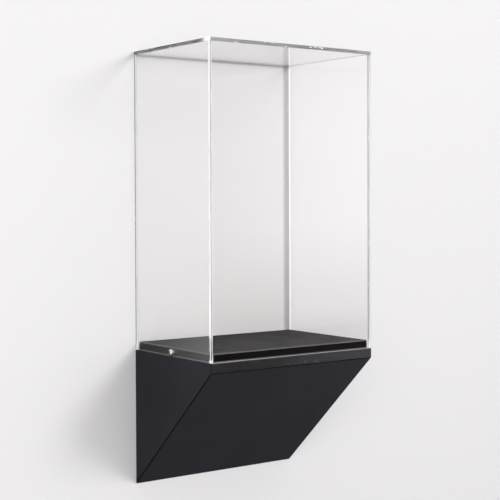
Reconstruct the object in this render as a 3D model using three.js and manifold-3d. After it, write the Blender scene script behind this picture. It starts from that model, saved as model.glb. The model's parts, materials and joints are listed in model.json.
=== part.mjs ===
// A wall-mounted display column. A black wedge-shaped console hangs on a bevelled cleat, and a clear
// hood stands over a raised plinth on top of it, held by one lock screw in each side.
// Lengths are millimetres. +X is right, +Y runs into the wall and +Z is up.
// The origin is the centre of the wall cleat's rear face, which lies flat on the wall.

import * as THREE from "three";
import { ConvexGeometry } from "three/addons/geometries/ConvexGeometry.js";
import { mergeVertices } from "three/addons/utils/BufferGeometryUtils.js";
import Module from "manifold-3d";

// Overall sizes
const columnWidth = 360;
const columnDepth = 250;
const hoodHeight = 550;
const consoleHeight = 250;

// Boards of the console
const boardThickness = 18;
const lipHeight = 18;
const plinthHeight = 15;
const mitreGap = 0.3;
const boardGap = 0.3;
const seatGap = 0.1;

// Hood
const acrylicThickness = 6;
const bondGap = 0.1;
const hoodWallGap = 1;
const plinthClearance = 1;

// Lock screws, their washers and the threaded inserts in the plinth
const lockShankRadius = 2.5;
const lockShankLength = 16;
const lockTipChamfer = 0.6;
const lockHeadRadius = 4.75;
const lockHeadHeight = 2.75;
const lockHeadRim = 0.5;
const lockSocketRadius = 1.73;
const lockSocketDepth = 1.6;
const lockSlotClearance = 0.25;
const washerRadius = 5;
const washerThickness = 1;
const washerGap = 0.3;
const insertRadius = 4;
const insertLength = 12;
const insertBoreRunout = 6;
const fastenerClearance = 0.25;

// Cleats, one on the wall and one on the console, that hook together on a 45 degree bevel
const cleatThickness = 18;
const wallCleatHeight = 60;
const wallCleatEndClearance = 12;
const consoleCleatHeight = 50;
const cleatWallGap = 1;
const wallHoleRadius = 2.5;
const wallHoleCountersinkRadius = 5;
const wallHoleEndDistance = 30;

// Wood screws
const woodScrewRadius = 2;
const woodScrewHeadRadius = 4;
const woodScrewTipLength = 4;
const woodScrewRecessWidth = 1;
const woodScrewRecessSpan = 4;
const woodScrewRecessDepth = 1.5;
const pilotRunout = 1;
const cleatScrewLength = 32;
const cleatScrewEndDistance = 36;
const plinthScrewLength = 28;
const plinthScrewSideDistance = 53;
const plinthScrewEndDistance = 42;
const backScrewLength = 32;
const backScrewDrop = 20;
const backScrewRise = 12;

// Dowels and battens
const dowelRadius = 4;
const dowelLength = 28;
const dowelDepthInSide = 10;
const dowelChamfer = 1;
const dowelEndDistance = 50;
const battenSize = 20;

// Counts, facets of round pieces, and how far a cutter runs past the face that it opens
const cleatScrewCount = 4;
const deckDowelsEachSide = 3;
const roundFacets = 24;
const smallRoundFacets = 12;
const domeFacets = 5;
const cutOverrun = 1;

// Places in the column, with the top of the ledge at height 0 and the wall at depth 0
const halfWidth = columnWidth / 2;
const frontDepth = -columnDepth;
const slopeDrop = consoleHeight - lipHeight;
const slopeLength = Math.hypot(columnDepth, slopeDrop);
const slopeNormalDepth = slopeDrop / slopeLength;
const slopeNormalHeight = columnDepth / slopeLength;
const innerHalfWidth = halfWidth - boardThickness - boardGap;
const mitreInset = mitreGap / Math.SQRT2;
const plinthInset = acrylicThickness + plinthClearance;
const plinthHalfWidth = halfWidth - plinthInset;
const plinthFront = frontDepth + plinthInset;
const plinthRear = -hoodWallGap - plinthInset;
const lockHeight = plinthHeight / 2;
const lockDepth = frontDepth / 2;
const deckUnderside = -boardThickness;
const carcaseTop = deckUnderside - boardGap;
const backRear = -cleatThickness - boardGap;
const backFront = backRear - boardThickness;
const battenRear = backFront - boardGap;
const battenFront = battenRear - battenSize;
const cleatSeatRise = boardGap * Math.SQRT2;
const wallCleatPoint = carcaseTop - consoleCleatHeight - cleatSeatRise;
const wallCleatUnderside = wallCleatPoint - wallCleatHeight;
const wallCleatRearTop = wallCleatPoint - cleatThickness;
const wallFaceHeight = (wallCleatRearTop + wallCleatUnderside) / 2;
const consoleCleatLowest = wallCleatRearTop + cleatWallGap + cleatSeatRise;
const wallCleatReach = innerHalfWidth - wallCleatEndClearance;

const solids = await Module();
solids.setup();

// A closed geometry as a solid that can be cut. Faces that a pole has shrunk to nothing are dropped.
function toSolid(geometry) {
  const bare = geometry.clone();
  bare.deleteAttribute("normal");
  bare.deleteAttribute("uv");
  const merged = mergeVertices(bare);
  const corners = merged.index.array;
  const kept = [];
  for (let i = 0; i < corners.length; i += 3) {
    const [a, b, c] = corners.slice(i, i + 3);
    if (a !== b && b !== c && c !== a) kept.push(a, b, c);
  }
  const vertProperties = new Float32Array(merged.attributes.position.array);
  const triVerts = new Uint32Array(kept);
  return new solids.Manifold(new solids.Mesh({ numProp: 3, vertProperties, triVerts }));
}

// The solid's triangles as a geometry.
function toGeometry(solid) {
  const mesh = solid.getMesh();
  const geometry = new THREE.BufferGeometry();
  geometry.setAttribute("position", new THREE.BufferAttribute(mesh.vertProperties, 3));
  geometry.setIndex(new THREE.BufferAttribute(mesh.triVerts, 1));
  geometry.computeVertexNormals();
  return geometry;
}

// The geometry with each cutter taken out of it.
function cutAway(geometry, cutters) {
  let solid = toSolid(geometry);
  for (const cutter of cutters) solid = solid.subtract(toSolid(cutter));
  return toGeometry(solid);
}

// A prism whose section is given as depth and height pairs, run along X between two values.
function prismAcross(section, left, right) {
  const points = section.flatMap(([depth, height]) => [
    new THREE.Vector3(left, depth, height),
    new THREE.Vector3(right, depth, height),
  ]);
  return new ConvexGeometry(points);
}

// A round piece turned about +Z. Its profile is radius and length pairs from one end to the other.
function turned(profile, facets) {
  const points = profile.map(([radius, length]) => new THREE.Vector2(radius, length));
  return new THREE.LatheGeometry(points, facets).rotateX(Math.PI / 2).rotateZ(Math.PI);
}

// A place for a fastener: the point where its head's face lies, and the way it is driven.
function driven(x, y, z, direction) {
  return { point: new THREE.Vector3(x, y, z), direction };
}

const intoWall = new THREE.Vector3(0, 1, 0);
const awayFromWall = new THREE.Vector3(0, -1, 0);
const upward = new THREE.Vector3(0, 0, 1);
const rightward = new THREE.Vector3(1, 0, 0);
const leftward = new THREE.Vector3(-1, 0, 0);

function turnTo(direction) {
  return new THREE.Quaternion().setFromUnitVectors(upward, direction);
}

// The cutters that open one hole at each place.
function holesAt(places, cutter) {
  return places.map(({ point, direction }) =>
    cutter.clone().applyQuaternion(turnTo(direction)).translate(point.x, point.y, point.z));
}

// Height of the sloped board's face at a depth, for a layer this far under its outer face
function slopeHeight(depth, inset) {
  return -lipHeight + (inset - (depth - frontDepth) * slopeNormalDepth) / slopeNormalHeight;
}

// Finishes
function finish(color, roughness, metalness, opacity = 1) {
  return new THREE.MeshStandardMaterial({
    color,
    roughness,
    metalness,
    opacity,
    transparent: opacity < 1,
  });
}
const clearAcrylic = () => finish(0xeef2f8, 0.03, 0, 0.25);
const blackLacquer = () => finish(0x2c2c30, 0.5, 0);
const plywood = () => finish(0xc9a878, 0.7, 0);
const beech = () => finish(0xd8b68a, 0.7, 0);
const polishedSteel = () => finish(0xd6d7da, 0.2, 1);
const zincSteel = () => finish(0xb9bcc0, 0.4, 1);
const brass = () => finish(0xc6a14f, 0.35, 1);

// One named piece, with its geometry's own place or a place given for it
function piece(name, geometry, material, where) {
  const mesh = new THREE.Mesh(geometry, material);
  mesh.name = name;
  if (where) {
    mesh.position.copy(where.point);
    mesh.quaternion.copy(turnTo(where.direction));
  }
  return mesh;
}

// A plate square to the axes, placed by its lowest and highest corners
function plate(name, low, high, material) {
  const size = high.map((value, axis) => value - low[axis]);
  const mesh = new THREE.Mesh(new THREE.BoxGeometry(...size), material);
  mesh.name = name;
  mesh.position.set(...low.map((value, axis) => value + size[axis] / 2));
  return mesh;
}

// Hood: four walls and a top, bonded at their edges. The front and back panels cover the side
// panels' ends, and the top covers all four walls.
function hood() {
  const group = new THREE.Group();
  const rear = -hoodWallGap;
  const wallTop = hoodHeight - acrylicThickness - bondGap;
  const panels = {
    hood_top_panel: [
      [-halfWidth, frontDepth, hoodHeight - acrylicThickness],
      [halfWidth, rear, hoodHeight],
    ],
    hood_front_panel: [
      [-halfWidth, frontDepth, seatGap],
      [halfWidth, frontDepth + acrylicThickness, wallTop],
    ],
    hood_back_panel: [
      [-halfWidth, rear - acrylicThickness, seatGap],
      [halfWidth, rear, wallTop],
    ],
  };
  for (const [name, [low, high]] of Object.entries(panels)) {
    group.add(plate(name, low, high, clearAcrylic()));
  }
  const sideFront = frontDepth + acrylicThickness + bondGap;
  const sideRear = rear - acrylicThickness - bondGap;
  const sidePanel = slottedPanel(sideFront, sideRear, wallTop);
  for (const [name, left] of [
    ["hood_left_panel", -halfWidth],
    ["hood_right_panel", halfWidth - acrylicThickness],
  ]) {
    const panel = piece(name, sidePanel, clearAcrylic());
    panel.position.x = left;
    group.add(panel);
  }
  return group;
}

// A side panel of the hood. A slot with a round top, open at the bottom edge, lets it drop over the
// lock screw's shank.
function slottedPanel(front, rear, top) {
  const slotRadius = lockShankRadius + lockSlotClearance;
  const outline = new THREE.Shape();
  outline.moveTo(front, seatGap);
  outline.lineTo(lockDepth - slotRadius, seatGap);
  outline.lineTo(lockDepth - slotRadius, lockHeight);
  outline.absarc(lockDepth, lockHeight, slotRadius, Math.PI, 0, true);
  outline.lineTo(lockDepth + slotRadius, seatGap);
  outline.lineTo(rear, seatGap);
  outline.lineTo(rear, top);
  outline.lineTo(front, top);
  const geometry = new THREE.ExtrudeGeometry(outline, {
    depth: acrylicThickness,
    bevelEnabled: false,
    curveSegments: smallRoundFacets,
  });
  return geometry.applyMatrix4(new THREE.Matrix4().makeBasis(intoWall, upward, rightward));
}

// The lock screw's place on each side: its axis crosses the plinth's edge at mid height.
const lockPlaces = {
  left: driven(-halfWidth - washerGap - washerThickness - seatGap, lockDepth, lockHeight, rightward),
  right: driven(halfWidth + washerGap + washerThickness + seatGap, lockDepth, lockHeight, leftward),
};

// A button-head screw with a hexagon socket, driven along +Z. The head's seat is at length 0.
function lockScrew() {
  const domeHeight = lockHeadHeight - lockHeadRim;
  const crown = [];
  for (let step = 0; step <= domeFacets; step += 1) {
    const angle = (Math.PI / 2) * (1 - step / domeFacets);
    crown.push([lockHeadRadius * Math.cos(angle), -lockHeadRim - domeHeight * Math.sin(angle)]);
  }
  crown[0][0] = 0;
  const body = turned([
    ...crown,
    [lockHeadRadius, 0],
    [lockShankRadius, 0],
    [lockShankRadius, lockShankLength - lockTipChamfer],
    [lockShankRadius - lockTipChamfer, lockShankLength],
    [0, lockShankLength],
  ], roundFacets);
  const socketHeight = lockSocketDepth + cutOverrun;
  const socket = new THREE.CylinderGeometry(lockSocketRadius, lockSocketRadius, socketHeight, 6);
  socket.rotateX(Math.PI / 2);
  socket.translate(0, 0, -lockHeadHeight + lockSocketDepth - socketHeight / 2);
  return cutAway(body, [socket]);
}

// A ring turned about +Z, from length 0 to its own length
function ring(innerRadius, outerRadius, length, facets) {
  return turned([
    [innerRadius, 0],
    [outerRadius, 0],
    [outerRadius, length],
    [innerRadius, length],
    [innerRadius, 0],
  ], facets);
}

function locks() {
  const group = new THREE.Group();
  const holeRadius = lockShankRadius + fastenerClearance;
  for (const [side, screwPlace] of Object.entries(lockPlaces)) {
    const { direction } = screwPlace;
    const washerPoint = screwPlace.point.clone().addScaledVector(direction, seatGap);
    const insertPoint = new THREE.Vector3(-direction.x * plinthHalfWidth, lockDepth, lockHeight);
    const washer = ring(holeRadius, washerRadius, washerThickness, roundFacets);
    const insert = ring(holeRadius, insertRadius, insertLength, roundFacets);
    group.add(
      piece(`${side}_lock_screw`, lockScrew(), polishedSteel(), screwPlace),
      piece(`${side}_lock_washer`, washer, polishedSteel(), { point: washerPoint, direction }),
      piece(`${side}_threaded_insert`, insert, brass(), { point: insertPoint, direction }),
    );
  }
  return group;
}

// A wood screw with a countersunk head and a cross recess, driven along +Z. Its face is at length 0.
function woodScrew(length) {
  const headHeight = woodScrewHeadRadius - woodScrewRadius;
  const body = turned([
    [0, 0],
    [woodScrewHeadRadius, 0],
    [woodScrewRadius, headHeight],
    [woodScrewRadius, length - woodScrewTipLength],
    [0, length],
  ], smallRoundFacets);
  const recessHeight = woodScrewRecessDepth + cutOverrun;
  const bars = [
    [woodScrewRecessSpan, woodScrewRecessWidth],
    [woodScrewRecessWidth, woodScrewRecessSpan],
  ].map(([wide, deep]) => {
    const bar = new THREE.BoxGeometry(wide, deep, recessHeight);
    return bar.translate(0, 0, woodScrewRecessDepth - recessHeight / 2);
  });
  return cutAway(body, bars);
}

// The hole that a countersunk screw sits in, as a cutter
function countersunkHole(shankRadius, headRadius, length) {
  const wideRadius = headRadius + fastenerClearance;
  const boreRadius = shankRadius + fastenerClearance;
  return turned([
    [0, -cutOverrun],
    [wideRadius, -cutOverrun],
    [wideRadius, 0],
    [boreRadius, wideRadius - boreRadius],
    [boreRadius, length + pilotRunout],
    [0, length + pilotRunout],
  ], smallRoundFacets);
}

function woodScrewHole(length) {
  return countersunkHole(woodScrewRadius, woodScrewHeadRadius, length);
}

// A number of values spread evenly from one to another, both included
function spread(first, last, count) {
  return Array.from({ length: count }, (_, index) =>
    THREE.MathUtils.lerp(first, last, index / (count - 1)));
}

const cleatScrewHeight = carcaseTop - consoleCleatHeight / 2;
const cleatScrewReach = innerHalfWidth - cleatScrewEndDistance;
const cleatScrewPlaces = spread(-cleatScrewReach, cleatScrewReach, cleatScrewCount)
  .map((x) => driven(x, -cleatWallGap, cleatScrewHeight, awayFromWall));

const plinthMiddle = (plinthFront + plinthRear) / 2;
const plinthScrewPlaces = [];
for (const across of [-1, 1]) {
  const x = across * (plinthHalfWidth - plinthScrewSideDistance);
  for (const y of [plinthFront + plinthScrewEndDistance, plinthRear - plinthScrewEndDistance]) {
    plinthScrewPlaces.push(driven(x, y, deckUnderside, upward));
  }
}

const battenMiddle = innerHalfWidth - battenSize / 2;
const backScrewHeights = [
  consoleCleatLowest - backScrewDrop,
  slopeHeight(battenFront, boardThickness) + backScrewRise,
];
const backScrewPlaces = [];
for (const across of [-1, 1]) {
  for (const height of backScrewHeights) {
    backScrewPlaces.push(driven(across * battenMiddle, backRear, height, awayFromWall));
  }
}

const dowelHeight = deckUnderside / 2;
const dowelStart = halfWidth - boardThickness + dowelDepthInSide - dowelLength;
const dowelDepths = spread(frontDepth + dowelEndDistance, -dowelEndDistance, deckDowelsEachSide);
const dowelPlaces = [leftward, rightward].flatMap((across) =>
  dowelDepths.map((depth) => driven(across.x * dowelStart, depth, dowelHeight, across)));

// A dowel with chamfered ends, driven along +Z
function dowel() {
  return turned([
    [0, 0],
    [dowelRadius - dowelChamfer, 0],
    [dowelRadius, dowelChamfer],
    [dowelRadius, dowelLength - dowelChamfer],
    [dowelRadius - dowelChamfer, dowelLength],
    [0, dowelLength],
  ], smallRoundFacets);
}

// A dowel's hole, as a cutter that is longer than the dowel by its runout at each end
function dowelHole() {
  const radius = dowelRadius + fastenerClearance;
  return turned([
    [0, -pilotRunout],
    [radius, -pilotRunout],
    [radius, dowelLength + pilotRunout],
    [0, dowelLength + pilotRunout],
  ], smallRoundFacets);
}

// The side board's face this far inside the console's outline, as depth and height pairs
function sideOutline(inset) {
  const front = frontDepth + inset;
  return [
    [0, 0],
    [front, 0],
    [front, slopeHeight(front, inset)],
    [0, slopeHeight(0, inset)],
  ];
}

// A side board: its front and sloped edges are mitred to meet the fascia and the sloped board.
function sideBoard(across) {
  const faces = [
    [halfWidth, sideOutline(mitreInset)],
    [halfWidth - boardThickness, sideOutline(boardThickness + mitreInset)],
  ];
  const points = faces.flatMap(([x, outline]) =>
    outline.map(([depth, height]) => new THREE.Vector3(across.x * x, depth, height)));
  const ownDowels = dowelPlaces.filter(({ direction }) => direction === across);
  return cutAway(new ConvexGeometry(points), holesAt(ownDowels, dowelHole()));
}

// A board across the whole front, mitred at both ends. Each face is given as its half width and
// the depth and height of its upper and lower edges.
function mitredFrontBoard(faces) {
  const points = faces.flatMap(([reach, edges]) =>
    edges.flatMap(([depth, height]) => [
      new THREE.Vector3(-reach, depth, height),
      new THREE.Vector3(reach, depth, height),
    ]));
  return new ConvexGeometry(points);
}

const outerReach = halfWidth - mitreInset;
const innerReach = halfWidth - boardThickness - mitreInset;

// The lip's front board, whose lower edge is mitred to the sloped board
function frontFascia() {
  const innerFront = frontDepth + boardThickness;
  return mitredFrontBoard([
    [outerReach, [[frontDepth, 0], [frontDepth, mitreInset - lipHeight]]],
    [innerReach, [[innerFront, 0], [innerFront, slopeHeight(innerFront, boardThickness) + mitreInset]]],
  ]);
}

// The sloped board, cut plumb at the wall
function slopedFrontBoard() {
  const alongDepth = mitreInset * slopeNormalHeight;
  const outerTop = [frontDepth + alongDepth, slopeHeight(frontDepth + alongDepth, 0)];
  const innerFront = frontDepth + boardThickness + alongDepth;
  const innerTop = [innerFront, slopeHeight(innerFront, boardThickness)];
  return mitredFrontBoard([
    [outerReach, [outerTop, [0, slopeHeight(0, 0)]]],
    [innerReach, [innerTop, [0, slopeHeight(0, boardThickness)]]],
  ]);
}

// The deck lies between the side boards. Its lower front edge is bevelled to clear the sloped board.
function deckBoard() {
  const front = frontDepth + boardThickness + boardGap;
  const inset = boardThickness + boardGap;
  const bevelEnd = frontDepth
    + (inset - (deckUnderside + lipHeight) * slopeNormalHeight) / slopeNormalDepth;
  const section = [
    [0, 0],
    [front, 0],
    [front, slopeHeight(front, inset)],
    [bevelEnd, deckUnderside],
    [0, deckUnderside],
  ];
  return cutAway(prismAcross(section, -innerHalfWidth, innerHalfWidth), [
    ...holesAt(dowelPlaces, dowelHole()),
    ...holesAt(plinthScrewPlaces, woodScrewHole(plinthScrewLength)),
  ]);
}

// The raised plinth, with a bore for the threaded insert in each side
function plinthBoard() {
  const size = [2 * plinthHalfWidth, plinthRear - plinthFront, plinthHeight - seatGap];
  const board = new THREE.BoxGeometry(...size);
  board.translate(0, plinthMiddle, seatGap + size[2] / 2);
  const boreLength = insertLength + insertBoreRunout + cutOverrun;
  const bores = [leftward, rightward].map((side) => {
    const radius = insertRadius + fastenerClearance;
    const bore = new THREE.CylinderGeometry(radius, radius, boreLength, roundFacets);
    bore.rotateZ(Math.PI / 2);
    return bore.translate(
      side.x * (plinthHalfWidth + cutOverrun - boreLength / 2), lockDepth, lockHeight,
    );
  });
  return cutAway(board, [
    ...bores,
    ...holesAt(plinthScrewPlaces, woodScrewHole(plinthScrewLength)),
  ]);
}

// A section that runs from under the deck down to the sloped board, between two depths
function sectionOverSlope(front, rear) {
  const inset = boardThickness + boardGap;
  return [
    [rear, carcaseTop],
    [front, carcaseTop],
    [front, slopeHeight(front, inset)],
    [rear, slopeHeight(rear, inset)],
  ];
}

function backBoard() {
  const board = prismAcross(sectionOverSlope(backFront, backRear), -innerHalfWidth, innerHalfWidth);
  return cutAway(board, [
    ...holesAt(cleatScrewPlaces, woodScrewHole(cleatScrewLength)),
    ...holesAt(backScrewPlaces, woodScrewHole(backScrewLength)),
  ]);
}

// A batten in the corner of a side board and the back board, which the back board is screwed to
function batten(left, right) {
  const strip = prismAcross(sectionOverSlope(battenFront, battenRear), left, right);
  const ownScrews = backScrewPlaces.filter(({ point }) => point.x > left && point.x < right);
  return cutAway(strip, holesAt(ownScrews, woodScrewHole(backScrewLength)));
}

// The console's cleat hooks behind the wall cleat's point.
function consoleCleat() {
  const section = [
    [-cleatWallGap, carcaseTop],
    [-cleatThickness, carcaseTop],
    [-cleatThickness, carcaseTop - consoleCleatHeight],
    [-cleatWallGap, consoleCleatLowest],
  ];
  const bar = prismAcross(section, -innerHalfWidth, innerHalfWidth);
  return cutAway(bar, holesAt(cleatScrewPlaces, woodScrewHole(cleatScrewLength)));
}

// The wall cleat, with countersunk holes for the screws that go into the wall
function wallCleat() {
  const section = [
    [0, wallCleatRearTop],
    [-cleatThickness, wallCleatPoint],
    [-cleatThickness, wallCleatUnderside],
    [0, wallCleatUnderside],
  ];
  const bar = prismAcross(section, -wallCleatReach, wallCleatReach);
  const hole = countersunkHole(wallHoleRadius, wallHoleCountersinkRadius, cleatThickness);
  const holeReach = wallCleatReach - wallHoleEndDistance;
  const places = spread(-holeReach, holeReach, cleatScrewCount)
    .map((x) => driven(x, -cleatThickness, wallFaceHeight, intoWall));
  return cutAway(bar, holesAt(places, hole));
}

function consoleBoards() {
  const group = new THREE.Group();
  const battenInner = innerHalfWidth - battenSize;
  group.add(
    piece("plinth_board", plinthBoard(), blackLacquer()),
    piece("deck_board", deckBoard(), blackLacquer()),
    piece("left_side_board", sideBoard(leftward), blackLacquer()),
    piece("right_side_board", sideBoard(rightward), blackLacquer()),
    piece("front_fascia", frontFascia(), blackLacquer()),
    piece("sloped_front_board", slopedFrontBoard(), blackLacquer()),
    piece("back_board", backBoard(), plywood()),
    piece("left_batten", batten(-innerHalfWidth, -battenInner), beech()),
    piece("right_batten", batten(battenInner, innerHalfWidth), beech()),
    piece("console_cleat", consoleCleat(), plywood()),
  );
  return group;
}

// Each repeated fastener is a piece of its own, numbered from left to right.
function fasteners() {
  const group = new THREE.Group();
  const sets = [
    ["cleat_screw", cleatScrewPlaces, woodScrew(cleatScrewLength), zincSteel],
    ["plinth_screw", plinthScrewPlaces, woodScrew(plinthScrewLength), zincSteel],
    ["back_screw", backScrewPlaces, woodScrew(backScrewLength), zincSteel],
    ["deck_dowel", dowelPlaces, dowel(), beech],
  ];
  for (const [name, places, geometry, material] of sets) {
    places.forEach((where, index) => {
      group.add(piece(`${name}_${index + 1}`, geometry, material(), where));
    });
  }
  return group;
}

const column = new THREE.Group();
column.name = "display_column";
column.position.z = -wallFaceHeight;
column.add(
  piece("wall_cleat", wallCleat(), plywood()),
  consoleBoards(),
  fasteners(),
  hood(),
  locks(),
);

export default column;
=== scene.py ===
"""The finished look of a wall-mounted display column.

A black wedge console hangs on a bevelled wall cleat. A raised plinth on it carries a clear lift-off hood,
which a lock screw in each side holds down. The file is laid out as an add-on and is run as a script.
"""

import json
from functools import reduce
from math import cos, pi, radians, sin, tau

import bmesh
import bpy
from bpy.props import FloatProperty, FloatVectorProperty, IntProperty, PointerProperty
from mathutils import Matrix, Vector

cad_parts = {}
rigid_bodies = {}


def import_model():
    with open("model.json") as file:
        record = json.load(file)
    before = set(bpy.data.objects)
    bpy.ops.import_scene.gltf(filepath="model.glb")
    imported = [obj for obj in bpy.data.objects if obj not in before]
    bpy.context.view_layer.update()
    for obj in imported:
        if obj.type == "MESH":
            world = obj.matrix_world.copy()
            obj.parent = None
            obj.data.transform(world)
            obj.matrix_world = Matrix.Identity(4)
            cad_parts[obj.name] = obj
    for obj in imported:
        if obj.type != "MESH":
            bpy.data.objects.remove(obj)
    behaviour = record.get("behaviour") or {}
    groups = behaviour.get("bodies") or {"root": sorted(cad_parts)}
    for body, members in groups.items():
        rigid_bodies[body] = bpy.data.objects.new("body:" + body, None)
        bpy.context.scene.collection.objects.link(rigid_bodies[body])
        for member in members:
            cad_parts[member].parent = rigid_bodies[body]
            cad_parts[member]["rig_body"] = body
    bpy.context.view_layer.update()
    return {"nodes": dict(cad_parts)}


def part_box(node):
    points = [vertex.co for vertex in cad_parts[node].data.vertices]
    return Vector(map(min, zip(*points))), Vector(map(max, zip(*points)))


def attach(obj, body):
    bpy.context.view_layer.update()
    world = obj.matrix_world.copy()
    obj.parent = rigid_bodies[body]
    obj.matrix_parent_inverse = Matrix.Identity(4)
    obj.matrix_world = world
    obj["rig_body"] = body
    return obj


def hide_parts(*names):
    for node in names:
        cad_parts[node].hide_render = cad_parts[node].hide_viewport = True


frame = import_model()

bl_info = {
    "name": "Wall display column",
    "version": (1, 0, 0),
    "blender": (4, 5, 0),
    "location": "View3D > Sidebar > Display column",
    "description": "Builds a wall-mounted display column around its CAD parts",
    "category": "Object",
}

MERGE_DISTANCE = 2e-6
SLIVER = 1e-6
NEAR = 1e-4
FLAT_ANGLE = radians(1)
ARRIS_ANGLE = radians(25)
SOFT_ANGLE = radians(35)
ACRYLIC_INDEX = 1.49
LACQUER_INDEX = 1.5
LOCK_CLEARANCE_RADIUS = 0.00275
LOCK_SCREW_REACH = 0.016
SIDES = {"left": -1, "right": 1}

HOOD_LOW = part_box("hood_front_panel")[0]
HOOD_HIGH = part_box("hood_top_panel")[1]
HOOD_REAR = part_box("hood_back_panel")[1].y
SHEET = HOOD_HIGH.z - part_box("hood_top_panel")[0].z
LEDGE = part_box("deck_board")[1].z
LIP_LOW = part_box("front_fascia")[0]
SIDE_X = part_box("right_side_board")[1].x
LEFT_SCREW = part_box("left_lock_screw")
LOCK_DEPTH = (LEFT_SCREW[0].y + LEFT_SCREW[1].y) / 2
LOCK_HEIGHT = (LEFT_SCREW[0].z + LEFT_SCREW[1].z) / 2


# Sizes and colours that a user would change


def number(name, description, default, low=0.0, high=1.0, **kind):
    return FloatProperty(name=name, description=description, default=default, min=low, max=high, **kind)


def length(name, description, default, low, high):
    return number(name, description, default, low, high, unit="LENGTH", precision=5)


def colour(name, description, default):
    return FloatVectorProperty(name=name, description=description, default=default, min=0.0, max=1.0,
                               size=3, subtype="COLOR")


class HoodSettings(bpy.types.PropertyGroup):
    sheet: length("Sheet", "Thickness of the acrylic sheet", SHEET, 0.003, 0.012)
    edge_break: length("Edge break", "Width of the polished break along an outer edge", 0.0006, 0.0001, 0.002)
    slot_radius: length("Slot radius", "Half a lock screw's slot width", LOCK_CLEARANCE_RADIUS, 0.002, 0.005)
    acrylic: colour("Acrylic", "Colour of the light that comes through a face", (0.995, 0.991, 0.986))
    # The flecks of light are painted into the end's colour.
    cut_edge: colour("Cut edge", "Colour of the flecks of light in a polished end", (0.92, 0.92, 0.93))
    cement: length("Cement", "Gap that the cement fills between two sheets", 0.00005, 0.00001, 0.0005)
    shade: number("Shade", "Share of light that one face lets through", 0.997, subtype="FACTOR")


class ConsoleSettings(bpy.types.PropertyGroup):
    arris: length("Arris", "Width of the eased arris along each board", 0.0012, 0.0002, 0.003)
    lacquer: colour("Lacquer", "Colour of the black lacquer", (0.0316, 0.0305, 0.038))
    # The worn lacquer colour is also a painted highlight along the arrises.
    lacquer_worn_and_highlight: colour("Worn lacquer", "Colour of lacquer where an arris is rubbed", (0.065, 0.064, 0.07))
    # The seam colour is painted shade down in the joint grooves.
    seam: colour("Seam", "Colour of the lacquer down in a joint between two boards", (0.004, 0.004, 0.005))
    gloss: number("Roughness", "Roughness of the lacquer", 0.52, subtype="FACTOR")
    grain: length("Grain", "Size of the grain that the spray gun leaves", 0.0012, 0.0003, 0.01)
    plywood: colour("Plywood", "Colour of the birch faces", (0.64, 0.49, 0.31))
    beech: colour("Beech", "Colour of the planed beech", (0.52, 0.33, 0.19))


class FixingSettings(bpy.types.PropertyGroup):
    facets: IntProperty(name="Facets", description="Facets round a turned piece", default=48, min=12, max=96)
    thread_facets: IntProperty(name="Thread facets", description="Facets in one turn of a thread", default=20,
                               min=8, max=48)
    lock_pitch: length("Lock pitch", "Pitch of the lock screw's thread", 0.0008, 0.0004, 0.002)
    wood_pitch: length("Wood pitch", "Pitch of the wood screws' thread", 0.0022, 0.001, 0.004)
    steel: colour("Steel", "Colour of the polished steel", (0.99, 0.98, 0.97))
    zinc: colour("Zinc", "Colour of the zinc plating", (0.62, 0.64, 0.66))
    brass: colour("Brass", "Colour of the turned brass", (0.66, 0.49, 0.25))


class StudioSettings(bpy.types.PropertyGroup):
    wall: colour("Wall", "Colour of the painted wall", (0.88, 0.868, 0.875))
    floor: colour("Floor", "Colour of the floor", (0.78, 0.77, 0.76))
    key: number("Key lamp", "Power of the soft lamp at the upper right", 50.0, 0.0, 400.0, unit="POWER")
    fill: number("Fill lamp", "Power of the soft lamp at the left", 14.0, 0.0, 400.0, unit="POWER")
    ambient: number("Ambient", "Strength of the even light from all round", 0.92, 0.0, 2.0)


class ColumnSettings(bpy.types.PropertyGroup):
    hood: PointerProperty(type=HoodSettings)
    console: PointerProperty(type=ConsoleSettings)
    fixing: PointerProperty(type=FixingSettings)
    studio: PointerProperty(type=StudioSettings)


def settings():
    return bpy.context.scene.display_column


# Node helpers


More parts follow.
